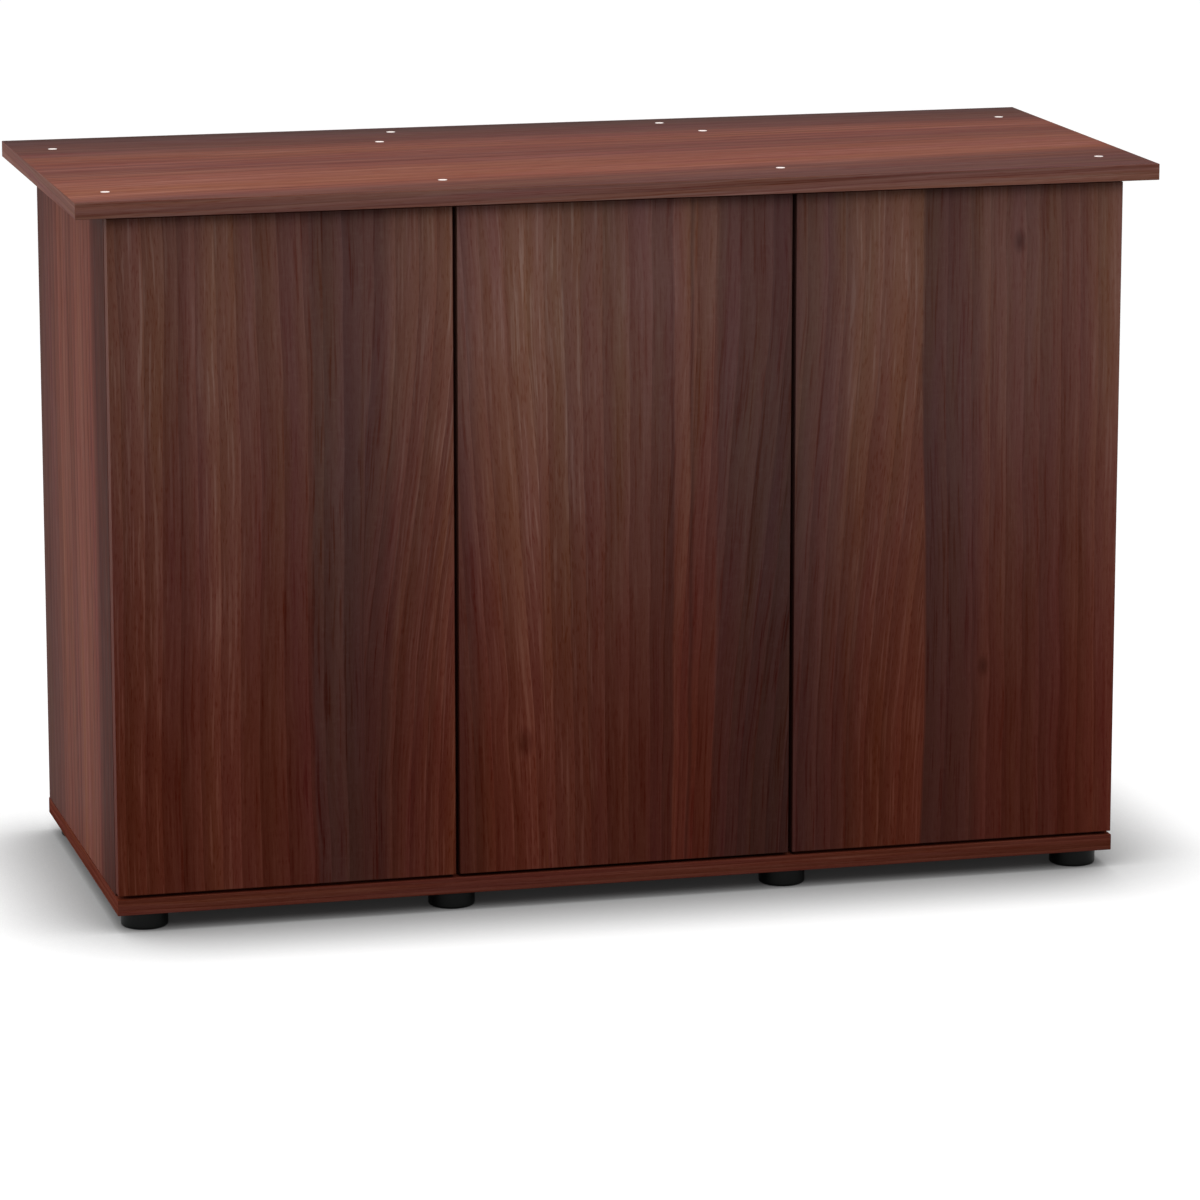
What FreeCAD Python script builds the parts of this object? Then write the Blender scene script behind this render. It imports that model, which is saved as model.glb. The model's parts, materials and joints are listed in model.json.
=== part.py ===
import FreeCAD, Part
import os
import re

# Aquarium cabinet in flat-pack board: top and base plates, four uprights, a back in the middle bay,
# three handleless overlay doors on concealed cup hinges, push latches and eight levelling feet.
# Frame: x to the right, y to the back, z up, origin on the floor under the middle of the top panel.

doc = FreeCAD.newDocument("aquarium_cabinet")
sheet = doc.addObject("Spreadsheet::Sheet", "Sizes")

# Driving sizes in millimetres: name, value, what it measures
driving_sizes = (
    ("top_width", 1210, "top panel, left to right"),
    ("top_depth", 510, "top panel, front to back"),
    ("overall_height", 805, "floor to the top face"),
    ("board", 18, "thickness of the carcass boards"),
    ("side_overhang", 35, "top panel past the end of the base"),
    ("front_overhang", 18, "top panel past the door fronts"),
    ("back_overhang", 20, "top panel past the back of the base"),
    ("base_reveal", 1, "base past the outer face of a side panel"),
    ("back_setback", 7, "back panel in from the rear edge of the base"),
    ("edge_round", 0.8, "rounding of the banded edges that show"),
    ("door_thickness", 18, "door board"),
    ("door_gap", 2, "door back to the front edges of the uprights"),
    ("door_spacing", 5, "gap between two doors"),
    ("door_top_gap", 3, "gap over a door"),
    ("door_bottom_gap", 4, "gap under a door"),
    ("fixed_fit", 0.05, "radial clearance of fasteners and pressed pieces"),
    ("running_fit", 0.04, "radial clearance of turning and sliding pieces"),
    ("end_gap", 1, "room past the end of a screw, dowel or plunger"),
    ("screw_length", 50, "carcass screw"),
    ("screw_head", 10, "carcass screw, head diameter"),
    ("screw_head_depth", 3, "carcass screw, depth of the countersunk head"),
    ("screw_neck", 7, "carcass screw, diameter in the plate"),
    ("screw_core", 5, "carcass screw, diameter in the upright"),
    ("hex_width", 4, "hexagon socket, across the corners"),
    ("hex_depth", 2.5, "hexagon socket, depth"),
    ("top_screw_inset", 37, "first top screw behind the front edge of an upright"),
    ("side_screw_rear", 63, "second top screw over a side panel, in from the back of the base"),
    ("partition_screw_rear", 95, "second top screw over a partition, in from the back of the base"),
    ("back_screw_spread", 320, "top screws over the back panel"),
    ("base_screw_inset", 72, "first base screw behind the front edge of an upright"),
    ("base_screw_rear", 92, "second base screw in from the back of the base"),
    ("base_back_spread", 200, "base screws under the back panel"),
    ("wood_screw_length", 45, "back panel screw"),
    ("wood_screw_head", 8, "back panel screw, head diameter"),
    ("wood_screw_head_depth", 3, "back panel screw, depth of the head"),
    ("wood_screw_shank", 4, "back panel screw, shank diameter"),
    ("wood_screw_inset", 80, "outer back panel screws from the ends of the partition"),
    ("dowel_diameter", 8, "dowel"),
    ("dowel_length", 30, "dowel"),
    ("dowel_in_plate", 11, "depth of a dowel in the top or base"),
    ("dowel_inset", 117, "first dowel behind the front edge of an upright"),
    ("dowel_rear", 143, "second dowel in from the back of the base"),
    ("foot_height", 20, "underside of the base above the floor"),
    ("foot_diameter", 52, "foot"),
    ("foot_rim", 3, "rounding of the bottom rim of a foot"),
    ("foot_clearance", 0.3, "foot to the underside of the base"),
    ("foot_side_inset", 35, "outer foot in from the end of the base"),
    ("foot_depth_inset", 34, "foot in from the front or back of the base"),
    ("stem_diameter", 10, "threaded stem of a foot"),
    ("stem_length", 15, "threaded stem of a foot"),
    ("socket_diameter", 14, "sleeve in the base for a stem"),
    ("socket_length", 16, "sleeve in the base for a stem"),
    ("hinge_inset", 90, "hinge centre from the end of a door"),
    ("cup_tab", 5, "hinge cup in from the edge of a door"),
    ("cup_diameter", 35, "hinge cup"),
    ("cup_depth", 11.5, "hinge cup"),
    ("cup_wall", 0.8, "hinge cup, wall round the hollow"),
    ("cup_floor", 1, "hinge cup, floor"),
    ("cup_mouth", 16, "hinge cup, opening between the cheeks"),
    ("flange_height", 58, "cup flange, along the door edge"),
    ("flange_lead", 6, "cup flange, towards the door edge from the cup centre"),
    ("flange_reach", 14, "cup flange, away from the door edge from the cup centre"),
    ("flange_thickness", 1, "cup flange"),
    ("cup_screw_pitch", 45, "cup screws"),
    ("cup_screw_offset", 9.5, "cup screws past the cup centre"),
    ("cup_screw_shank", 3.5, "cup screw, shank diameter"),
    ("cup_screw_head", 6.5, "cup screw, head diameter"),
    ("cup_screw_head_height", 0.6, "cup screw, head height"),
    ("cup_screw_length", 12, "cup screw under the head"),
    ("pin_diameter", 2.5, "hinge pins"),
    ("pin_seat", 3, "hinge pin in a cheek of the cup"),
    ("outer_cup_pin_in", 10.5, "outer link's cup pin from the door edge"),
    ("outer_cup_pin_depth", 2.95, "outer link's cup pin below the door back"),
    ("outer_elbow_in", 29.2, "outer link's bend from the door edge"),
    ("outer_elbow_depth", 4.4, "outer link's bend below the door back"),
    ("outer_arm_pin_in", 35.5, "outer link's arm pin from the door edge"),
    ("outer_arm_pin_back", 14, "outer link's arm pin behind the carcass front"),
    ("inner_cup_pin_in", 13.2, "inner link's cup pin from the door edge"),
    ("inner_cup_pin_depth", 6.55, "inner link's cup pin below the door back"),
    ("inner_elbow_in", 17.65, "inner link's bend from the door edge"),
    ("inner_elbow_depth", 8.3, "inner link's bend below the door back"),
    ("inner_arm_pin_in", 44.7, "inner link's arm pin from the door edge"),
    ("inner_arm_pin_back", 2.7, "inner link's arm pin behind the carcass front"),
    ("open_pivot_room", 1.7, "inner link's clearance round its arm pin"),
    ("link_thickness", 1.6, "hinge link sheet"),
    ("outer_link_width", 14, "outer link, along the pins"),
    ("inner_link_width", 8, "inner link, along the pins"),
    ("link_window", 8.8, "window in the outer link for the inner link"),
    ("link_bridge", 4, "solid end of the outer link past its arm pin"),
    ("eye_diameter", 4.6, "link eye round a pin"),
    ("open_eye_wall", 1.1, "wall of the inner link's wide eye"),
    ("arm_cheek", 2, "hinge arm, cheek and roof sheet"),
    ("arm_side_gap", 0.5, "outer link to an arm cheek"),
    ("arm_eye_diameter", 6.4, "hinge arm round a pin"),
    ("arm_seat_in", 24, "hinge arm's seat on its plate from the door edge"),
    ("arm_roof_in", 40, "hinge arm's roof from the door edge"),
    ("arm_front", 12, "hinge arm's cheeks behind the carcass front"),
    ("arm_roof_front", 20, "hinge arm's roof behind the carcass front"),
    ("arm_end", 62, "hinge arm's rear end behind the carcass front"),
    ("plate_front", 22, "mounting plate behind the carcass front"),
    ("wing_thickness", 2.5, "mounting plate wings"),
    ("wing_height", 50, "mounting plate wings, end to end"),
    ("wing_length", 16, "mounting plate wings, front to back"),
    ("plate_screw_back", 37, "mounting plate screws behind the carcass front"),
    ("plate_screw_pitch", 32, "mounting plate screws"),
    ("plate_screw_shank", 5, "mounting plate screw, shank diameter"),
    ("plate_screw_head", 9, "mounting plate screw, head diameter"),
    ("plate_screw_head_height", 2, "mounting plate screw, head height"),
    ("plate_screw_length", 13, "mounting plate screw under the head"),
    ("arm_screw_back", 48, "arm screw behind the carcass front"),
    ("arm_screw_shank", 5, "arm screw, shank diameter"),
    ("arm_screw_head", 8, "arm screw, head diameter"),
    ("arm_screw_head_height", 2, "arm screw, head height"),
    ("arm_screw_bite", 4, "arm screw in the plate"),
    ("latch_in", 30, "push latch in from the free edge of a door"),
    ("latch_setback", 2, "push latch behind the carcass front"),
    ("latch_width", 16, "push latch housing"),
    ("latch_height", 24, "push latch housing"),
    ("latch_length", 62, "push latch housing, front to back"),
    ("ear_thickness", 3, "push latch ears"),
    ("ear_reach", 10, "push latch ears past the housing"),
    ("ear_length", 14, "push latch ears, front to back"),
    ("ear_setback", 24, "push latch ears behind the housing front"),
    ("latch_screw_shank", 3.5, "latch screw, shank diameter"),
    ("latch_screw_head", 7, "latch screw, head diameter"),
    ("latch_screw_head_height", 2, "latch screw, head height"),
    ("latch_screw_length", 14, "latch screw under the head"),
    ("plunger_drop", 16, "plunger axis below the top panel"),
    ("plunger_diameter", 8, "plunger"),
    ("plunger_length", 46, "plunger"),
    ("strike_diameter", 16, "strike plate on a door"),
    ("strike_thickness", 1, "strike plate on a door"),
    ("strike_gap", 0.3, "plunger tip to the strike plate"),
)
for row, (alias, value, note) in enumerate(driving_sizes, start=1):
    sheet.set("A%d" % row, note)
    sheet.set("B%d" % row, str(value))
    sheet.setAlias("B%d" % row, alias)
doc.recompute()

alias_word = re.compile(r"\b(" + "|".join(alias for alias, value, note in driving_sizes) + r")\b")
axis_turns = {
    "+z": FreeCAD.Rotation(),
    "-z": FreeCAD.Rotation(FreeCAD.Vector(1, 0, 0), 180),
    "+x": FreeCAD.Rotation(FreeCAD.Vector(0, 1, 0), 90),
    "-x": FreeCAD.Rotation(FreeCAD.Vector(0, 1, 0), -90),
    "+y": FreeCAD.Rotation(FreeCAD.Vector(1, 0, 0), -90),
    "-y": FreeCAD.Rotation(FreeCAD.Vector(1, 0, 0), 90),
}
subparts = []
touching = 1e-3  # a point this near the floor lies on it
hexagon_sides = 6


def tie(item, path, formula):
    item.setExpression(path, alias_word.sub(r"Sizes.\1", formula))


def place(item, point):
    for axis, formula in zip("xyz", point):
        tie(item, "Placement.Base." + axis, formula)


def subpart(item, label):
    item.Label = label
    subparts.append(item)
    return item


def block(name, low, high):
    item = doc.addObject("Part::Box", name)
    for path, start, end in zip(("Length", "Width", "Height"), low, high):
        tie(item, path, "(%s) - (%s)" % (end, start))
    place(item, low)
    return item


def rod(name, start, axis, diameter, length):
    item = doc.addObject("Part::Cylinder", name)
    item.Placement.Rotation = axis_turns[axis]
    tie(item, "Radius", "(%s) / 2" % diameter)
    tie(item, "Height", length)
    place(item, start)
    return item


def taper(name, start, axis, first_diameter, last_diameter, length):
    item = doc.addObject("Part::Cone", name)
    item.Placement.Rotation = axis_turns[axis]
    tie(item, "Radius1", "(%s) / 2" % first_diameter)
    tie(item, "Radius2", "(%s) / 2" % last_diameter)
    tie(item, "Height", length)
    place(item, start)
    return item


def strip(name, start, end, thickness, low, high):
    # A bar of sheet from one plan point to another, between two heights
    across = "((%s) - (%s))" % (end[0], start[0])
    along = "((%s) - (%s))" % (end[1], start[1])
    length = "sqrt(%s ^ 2 + %s ^ 2)" % (across, along)
    item = doc.addObject("Part::Box", name)
    tie(item, "Length", length)
    tie(item, "Width", thickness)
    tie(item, "Height", "(%s) - (%s)" % (high, low))
    place(item, (
        "%s + %s / 2 * %s / %s" % (start[0], thickness, along, length),
        "%s - %s / 2 * %s / %s" % (start[1], thickness, across, length),
        low,
    ))
    tie(item, "Placement.Rotation.Angle", "atan2(%s; %s)" % (along, across))
    return item


def fuse(name, items):
    item = doc.addObject("Part::MultiFuse", name)
    item.Shapes = items
    item.Refine = True
    return item


def cut(name, base, tools):
    item = doc.addObject("Part::Cut", name)
    item.Base = base
    item.Tool = tools[0] if len(tools) == 1 else fuse(name + "_holes", tools)
    return item


def rounded(name, base, radius_alias, chosen):
    # Rounds the edges that chosen picks, by a radius read from the sheet
    doc.recompute()
    radius = float(sheet.get(radius_alias))
    item = doc.addObject("Part::Fillet", name)
    item.Base = base
    edges = enumerate(base.Shape.Edges, start=1)
    item.Edges = [(number, radius, radius) for number, edge in edges if chosen(edge)]
    return item


def every_edge(edge):
    return True


def floor_edge(edge):
    return all(abs(vertex.Z) < touching for vertex in edge.Vertexes)


def mirrored(name, source, normal, base=("0", "0", "0")):
    item = doc.addObject("Part::Mirroring", name)
    item.Source = source
    item.Normal = FreeCAD.Vector(*normal)
    for axis, formula in zip("xyz", base):
        tie(item, "Base." + axis, formula)
    return item


def group(label, items):
    item = doc.addObject("Part::Compound", label)
    item.Links = items
    return subpart(item, label)


def shifted(point, axis, distance):
    sign = axis[0]
    return tuple(
        "%s %s (%s)" % (formula, sign, distance) if name == axis[1] else formula
        for name, formula in zip("xyz", point)
    )


# Main planes and places, worked out from the driving sizes
door_front = "(front_overhang - top_depth / 2)"
door_back = "(%s + door_thickness)" % door_front
carcass_front = "(%s + door_gap)" % door_back
base_back = "(top_depth / 2 - back_overhang)"
base_end = "(top_width / 2 - side_overhang)"
side_face = "(%s - base_reveal)" % base_end
base_top = "(foot_height + board)"
top_under = "(overall_height - board)"
back_rear = "(%s - back_setback)" % base_back
back_face = "(%s - board)" % back_rear
back_middle = "(%s + board / 2)" % back_face
door_width = "((2 * %s - 2 * door_spacing) / 3)" % side_face
partition_x = "((%s + door_spacing) / 2)" % door_width
door_low = "(%s + door_bottom_gap)" % base_top
door_high = "(%s - door_top_gap)" % top_under
door_middle = "((%s + %s) / 2)" % (door_low, door_high)
side_middle = "(%s - board / 2)" % side_face
upright_middle = "((%s + %s) / 2)" % (base_top, top_under)


# Carcass screws: countersunk head with a hexagon socket, neck in the plate, core in the upright
def carcass_screw(name, face_point, axis):
    neck_point = shifted(face_point, axis, "screw_head_depth")
    core_point = shifted(face_point, axis, "board")
    body = fuse(name + "_blank", [
        taper(name + "_head", face_point, axis, "screw_head", "screw_neck", "screw_head_depth"),
        rod(name + "_neck", neck_point, axis, "screw_neck", "board - screw_head_depth"),
        rod(name + "_core", core_point, axis, "screw_core", "screw_length - board"),
    ])
    socket = doc.addObject("Part::Prism", name + "_socket")
    socket.Polygon = hexagon_sides
    socket.Placement.Rotation = axis_turns[axis]
    tie(socket, "Circumradius", "hex_width / 2")
    tie(socket, "Height", "hex_depth")
    place(socket, face_point)
    return cut(name, body, [socket])


def plate_hole(name, face_point, axis):
    head = "screw_head + 2 * fixed_fit"
    neck = "screw_neck + 2 * fixed_fit"
    neck_point = shifted(face_point, axis, "screw_head_depth")
    return [
        taper(name + "_sink", face_point, axis, head, neck, "screw_head_depth"),
        rod(name + "_bore", neck_point, axis, neck, "board - screw_head_depth"),
    ]


def upright_hole(name, face_point, axis):
    start = shifted(face_point, axis, "board")
    depth = "screw_length - board + end_gap"
    return rod(name + "_pilot", start, axis, "screw_core + 2 * fixed_fit", depth)


def row_places(x, front_inset, rear_inset):
    return [(x, "%s + %s" % (carcass_front, front_inset)), (x, "%s - %s" % (base_back, rear_inset))]


upright_x = {"left_side": "-" + side_middle, "left_partition": "-" + partition_x}
top_rear = {"left_side": "side_screw_rear", "left_partition": "partition_screw_rear"}
top_holes = []
base_holes = []
upright_holes = {"left_side": [], "left_partition": [], "back_panel": []}
top_screws = []
base_screws = []
dowels = []


def add_screw(upright, number, x, y):
    # One screw through the top or the base into an upright, with its holes
    if number.startswith("top"):
        point, axis, holes, screws = (x, y, "overall_height"), "-z", top_holes, top_screws
    else:
        point, axis, holes, screws = (x, y, "foot_height"), "+z", base_holes, base_screws
    name = "%s_%s_screw" % (upright, number)
    screws.append(carcass_screw(name, point, axis))
    holes.extend(plate_hole(name, point, axis))
    upright_holes[upright].append(upright_hole(name, point, axis))


def add_dowel(upright, number, x, y):
    # One dowel between an upright and the top or the base, with its blind holes
    hole = "dowel_diameter + 2 * fixed_fit"
    room = "dowel_length - dowel_in_plate + end_gap"
    if number.startswith("top"):
        joint, into_plate, into_upright, holes = (x, y, top_under), "+z", "-z", top_holes
    else:
        joint, into_plate, into_upright, holes = (x, y, base_top), "-z", "+z", base_holes
    name = "%s_%s_dowel" % (upright, number)
    start = shifted(joint, into_plate, "dowel_in_plate")
    dowels.append(rod(name, start, into_upright, "dowel_diameter", "dowel_length"))
    holes.append(rod(name + "_plate_hole", joint, into_plate, hole, "dowel_in_plate + end_gap"))
    upright_holes[upright].append(rod(name + "_hole", joint, into_upright, hole, room))


for upright, x in upright_x.items():
    for number, (px, py) in enumerate(row_places(x, "top_screw_inset", top_rear[upright])):
        add_screw(upright, "top_%d" % number, px, py)
    for number, (px, py) in enumerate(row_places(x, "base_screw_inset", "base_screw_rear")):
        add_screw(upright, "base_%d" % number, px, py)
    for number, (px, py) in enumerate(row_places(x, "dowel_inset", "dowel_rear")):
        add_dowel(upright, "top_%d" % number, px, py)
        add_dowel(upright, "base_%d" % number, px, py)
add_screw("back_panel", "top", "-back_screw_spread / 2", back_middle)
add_screw("back_panel", "base", "-base_back_spread / 2", back_middle)


def both_sides(items):
    # The left-hand pieces and their mirror images on the right
    return items + [mirrored(item.Name + "_right", item, (1, 0, 0)) for item in items]


group("top_screws", both_sides(top_screws))
group("base_screws", both_sides(base_screws))
group("dowels", both_sides(dowels))

# Feet: a round glide with a threaded stem that turns in a sleeve in the base
foot_columns = {"left": "-(%s - foot_side_inset)" % base_end, "inner_left": "-" + partition_x}
foot_rows = {
    "front": "%s + foot_depth_inset" % door_front,
    "rear": "%s - foot_depth_inset" % base_back,
}
sockets = []
for row_name, y in foot_rows.items():
    for column, x in foot_columns.items():
        name = "%s_%s_foot" % (row_name, column)
        glide = rod(name + "_glide", (x, y, "0"), "+z", "foot_diameter", "foot_height - foot_clearance")
        stem_start = (x, y, "foot_height - foot_clearance")
        stem = rod(name + "_stem", stem_start, "+z", "stem_diameter", "stem_length")
        foot = fuse(name, [rounded(name + "_rim", glide, "foot_rim", floor_edge), stem])
        subpart(foot, name)
        subpart(mirrored(name.replace("left", "right"), foot, (1, 0, 0)), name.replace("left", "right"))
        under = (x, y, "foot_height")
        sleeve = rod(name + "_sleeve", under, "+z", "socket_diameter", "socket_length")
        bore = rod(name + "_thread", under, "+z", "stem_diameter + 2 * running_fit", "socket_length")
        sockets.append(cut(name + "_socket", sleeve, [bore]))
        seat = "socket_diameter + 2 * fixed_fit"
        base_holes.append(rod(name + "_seat", under, "+z", seat, "socket_length"))
group("foot_sockets", both_sides(sockets))

# Top and base plates
top_blank = block("top_blank", ("-top_width / 2", "-top_depth / 2", top_under),
                  ("top_width / 2", "top_depth / 2", "overall_height"))
top_edges = rounded("top_edges", top_blank, "edge_round", every_edge)
subpart(cut("top_panel", top_edges, both_sides(top_holes)), "top_panel")
base_low = ("-" + base_end, door_front, "foot_height")
base_blank = block("base_blank", base_low, (base_end, base_back, base_top))
base_edges = rounded("base_edges", base_blank, "edge_round", every_edge)
subpart(cut("base_panel", base_edges, both_sides(base_holes)), "base_panel")

# Back panel of the middle bay, screwed to the rear edges of both partitions
wood_screws = []
for number, z in enumerate((
        "%s + wood_screw_inset" % base_top, upright_middle, "%s - wood_screw_inset" % top_under)):
    name = "back_screw_%d" % number
    face_point = ("-" + partition_x, back_rear, z)
    neck_point = shifted(face_point, "-y", "wood_screw_head_depth")
    length = "wood_screw_length - wood_screw_head_depth"
    sink_depth = "wood_screw_head_depth"
    wood_screws.append(fuse(name, [
        taper(name + "_head", face_point, "-y", "wood_screw_head", "wood_screw_shank", sink_depth),
        rod(name + "_shank", neck_point, "-y", "wood_screw_shank", length),
    ]))
    sink = "wood_screw_head + 2 * fixed_fit"
    bore = "wood_screw_shank + 2 * fixed_fit"
    upright_holes["back_panel"].append(taper(name + "_sink", face_point, "-y", sink, bore, sink_depth))
    upright_holes["back_panel"].append(rod(name + "_bore", neck_point, "-y", bore, "board"))
    pilot_point = shifted(face_point, "-y", "board")
    pilot_length = "wood_screw_length - board + end_gap"
    upright_holes["left_partition"].append(rod(name + "_pilot", pilot_point, "-y", bore, pilot_length))
group("back_screws", both_sides(wood_screws))
back_half = "(%s + board / 2)" % partition_x
back_low = ("-" + back_half, back_face, base_top)
back_blank = block("back_blank", back_low, (back_half, back_rear, top_under))
subpart(cut("back_panel", back_blank, both_sides(upright_holes["back_panel"])), "back_panel")


# Concealed hinges: plan points of one hinge from the hinge edge of its door
def hinge_point(edge, along_in, behind):
    return ("(%s + %s)" % (edge, along_in), "(%s + %s)" % (carcass_front, behind))


def hinge_cup_point(edge, along_in, depth):
    return ("(%s + %s)" % (edge, along_in), "(%s - %s)" % (door_back, depth))


hinge_z = "(%s + hinge_inset)" % door_low
plate_screws = []
arm_screws = []


def band(width):
    # Heights of a piece that is centred on the hinge
    return "%s - (%s) / 2" % (hinge_z, width), "%s + (%s) / 2" % (hinge_z, width)


def hinge_pin(name, point, width, clearance="0"):
    low, high = band(width)
    return rod(name, (point[0], point[1], low), "+z", "pin_diameter + 2 * (%s)" % clearance, width)


def with_upper(items):
    # The lower hinge's pieces and their mirror images at the upper hinge
    middle = ("0", "0", door_middle)
    return items + [mirrored(item.Name + "_upper", item, (0, 0, 1), middle) for item in items]


def bent_link(name, points, widths, eyes):
    # Sheet link from the arm pin over its bend to the cup pin, with an eye round each pin
    arm_pin, elbow, cup_pin = points
    low, high = band(widths)
    pieces = [strip(name + "_arm_leg", arm_pin, elbow, "link_thickness", low, high),
              strip(name + "_cup_leg", elbow, cup_pin, "link_thickness", low, high)]
    for part, point, size in zip(("arm_eye", "elbow", "cup_eye"), points, eyes):
        pieces.append(rod("%s_%s" % (name, part), (point[0], point[1], low), "+z", size, widths))
    return fuse(name + "_blank", pieces)


def hinges(side, edge, mounting_face):
    # All pieces of one door's two hinges; the holes for the door and for the upright are returned
    outer = (hinge_point(edge, "outer_arm_pin_in", "outer_arm_pin_back"),
             hinge_cup_point(edge, "outer_elbow_in", "outer_elbow_depth"),
             hinge_cup_point(edge, "outer_cup_pin_in", "outer_cup_pin_depth"))
    inner = (hinge_point(edge, "inner_arm_pin_in", "inner_arm_pin_back"),
             hinge_cup_point(edge, "inner_elbow_in", "inner_elbow_depth"),
             hinge_cup_point(edge, "inner_cup_pin_in", "inner_cup_pin_depth"))
    cup_pins_width = "cup_mouth + 2 * pin_seat"
    arm_gap = "outer_link_width + 2 * arm_side_gap"
    arm_width = "outer_link_width + 2 * arm_side_gap + 2 * arm_cheek"
    name = side + "_hinge"

    # Cup with its flange, open between two cheeks that hold the pins
    cup_in = "(cup_tab + cup_diameter / 2)"
    cup_x = "(%s + %s)" % (edge, cup_in)
    flange_low, flange_high = band("flange_height")
    mouth_low, mouth_high = band("cup_mouth")
    shell = rod(name + "_shell", (cup_x, door_back, hinge_z), "-y", "cup_diameter", "cup_depth")
    flange = block(name + "_flange", (cup_x + " - flange_lead", door_back, flange_low),
                   (cup_x + " + flange_reach", door_back + " + flange_thickness", flange_high))
    hollow_start = (cup_x, door_back + " + flange_thickness", hinge_z)
    hollow_depth = "cup_depth - cup_floor + flange_thickness"
    hollow_width = "cup_diameter - 2 * cup_wall"
    hollow_round = rod(name + "_hollow_round", hollow_start, "-y", hollow_width, hollow_depth)
    hollow_low = (cup_x + " - cup_diameter", door_back + " - cup_depth", mouth_low)
    hollow_high = (cup_x + " + cup_diameter", door_back + " + flange_thickness", mouth_high)
    hollow_slot = block(name + "_hollow_slot", hollow_low, hollow_high)
    hollow = doc.addObject("Part::Common", name + "_hollow")
    hollow.Base = hollow_round
    hollow.Tool = hollow_slot
    cup_tools = [hollow]
    for link_name, points in (("outer", outer), ("inner", inner)):
        pin_hole = "%s_%s_cup_pin_hole" % (name, link_name)
        cup_tools.append(hinge_pin(pin_hole, points[2], cup_pins_width, "fixed_fit"))
    screw_x = "(%s + cup_screw_offset)" % cup_x
    cup_bore = "cup_diameter + 2 * fixed_fit"
    door_tools = [rod(name + "_cup_bore", (cup_x, door_back, hinge_z), "-y", cup_bore, "cup_depth")]
    cup_screws = []
    for sign in "-+":
        screw_z = "%s %s cup_screw_pitch / 2" % (hinge_z, sign)
        screw_name = "%s_cup_screw_%s" % (name, "low" if sign == "-" else "high")
        seat = (screw_x, door_back + " + flange_thickness", screw_z)
        shank_hole = "cup_screw_shank + 2 * fixed_fit"
        cup_screws.append(fuse(screw_name, [
            rod(screw_name + "_head", seat, "+y", "cup_screw_head", "cup_screw_head_height"),
            rod(screw_name + "_shank", seat, "-y", "cup_screw_shank", "cup_screw_length"),
        ]))
        cup_tools.append(rod(screw_name + "_flange_hole", seat, "-y", shank_hole, "flange_thickness"))
        door_tools.append(rod(screw_name + "_pilot", (screw_x, door_back, screw_z), "-y", shank_hole,
                              "cup_screw_length - flange_thickness + end_gap"))
    cup = cut(name + "_cup", fuse(name + "_cup_blank", [shell, flange]), cup_tools)
    group(side + "_hinge_cups", with_upper([cup]))
    group(side + "_cup_screws", with_upper(cup_screws))
    pins = [hinge_pin(name + "_outer_cup_pin", outer[2], cup_pins_width),
            hinge_pin(name + "_inner_cup_pin", inner[2], cup_pins_width)]
    group(side + "_cup_pins", with_upper(pins))

    # Outer link with a window for the inner one, which is left loose round its arm pin
    outer_blank = bent_link(name + "_outer_link", outer, "outer_link_width",
                            ("eye_diameter", "link_thickness", "eye_diameter"))
    window_low, window_high = band("link_window")
    window = block(name + "_window", (edge, door_back + " - cup_depth", window_low),
                   (outer[0][0] + " + cup_diameter", outer[0][1] + " - link_bridge", window_high))
    outer_tools = [window,
                   hinge_pin(name + "_outer_arm_bore", outer[0], "outer_link_width", "running_fit"),
                   hinge_pin(name + "_outer_cup_bore", outer[2], "outer_link_width", "running_fit")]
    group(side + "_outer_links", with_upper([cut(name + "_outer_link", outer_blank, outer_tools)]))
    wide_eye = "pin_diameter + 2 * open_pivot_room + 2 * open_eye_wall"
    inner_blank = bent_link(name + "_inner_link", inner, "inner_link_width",
                            (wide_eye, "link_thickness", "eye_diameter"))
    inner_tools = [hinge_pin(name + "_inner_arm_bore", inner[0], "inner_link_width", "open_pivot_room"),
                   hinge_pin(name + "_inner_cup_bore", inner[2], "inner_link_width", "running_fit")]
    group(side + "_inner_links", with_upper([cut(name + "_inner_link", inner_blank, inner_tools)]))

    # Arm: two cheeks under a roof, with a nose that carries both arm pins
    cheek_low, cheek_high = band(arm_width)
    nose = [strip(name + "_nose", outer[0], inner[0], "arm_eye_diameter", cheek_low, cheek_high)]
    for link_name, points in (("outer", outer), ("inner", inner)):
        eye_start = (points[0][0], points[0][1], cheek_low)
        eye_name = "%s_%s_arm_eye" % (name, link_name)
        nose.append(rod(eye_name, eye_start, "+z", "arm_eye_diameter", arm_width))
    seat_x = "(%s + arm_seat_in)" % edge
    roof_x = "(%s + arm_roof_in)" % edge
    shank = block(name + "_arm_shank", (seat_x, carcass_front + " + arm_front", cheek_low),
                  (roof_x, carcass_front + " + arm_end", cheek_high))
    channel_low, channel_high = band(arm_gap)
    channel = block(name + "_arm_channel", (seat_x, carcass_front + " + arm_roof_front", channel_low),
                    (roof_x + " - arm_cheek", carcass_front + " + arm_end", channel_high))
    mouth = block(name + "_arm_mouth", (seat_x, door_front, channel_low),
                  (inner[0][0] + " + cup_diameter", carcass_front + " + arm_roof_front", channel_high))
    screw_y = carcass_front + " + arm_screw_back"
    arm_hole = "arm_screw_shank + 2 * fixed_fit"
    screw_seat = (roof_x, screw_y, hinge_z)
    arm_tools = [channel, mouth, rod(name + "_roof_hole", screw_seat, "-x", arm_hole, "arm_cheek")]
    for link_name, points in (("outer", outer), ("inner", inner)):
        pin_hole = "%s_%s_arm_pin_hole" % (name, link_name)
        arm_tools.append(hinge_pin(pin_hole, points[0], arm_width, "fixed_fit"))
    arm = cut(name + "_arm", fuse(name + "_arm_blank", [shank] + nose), arm_tools)
    group(side + "_hinge_arms", with_upper([arm]))
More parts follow.
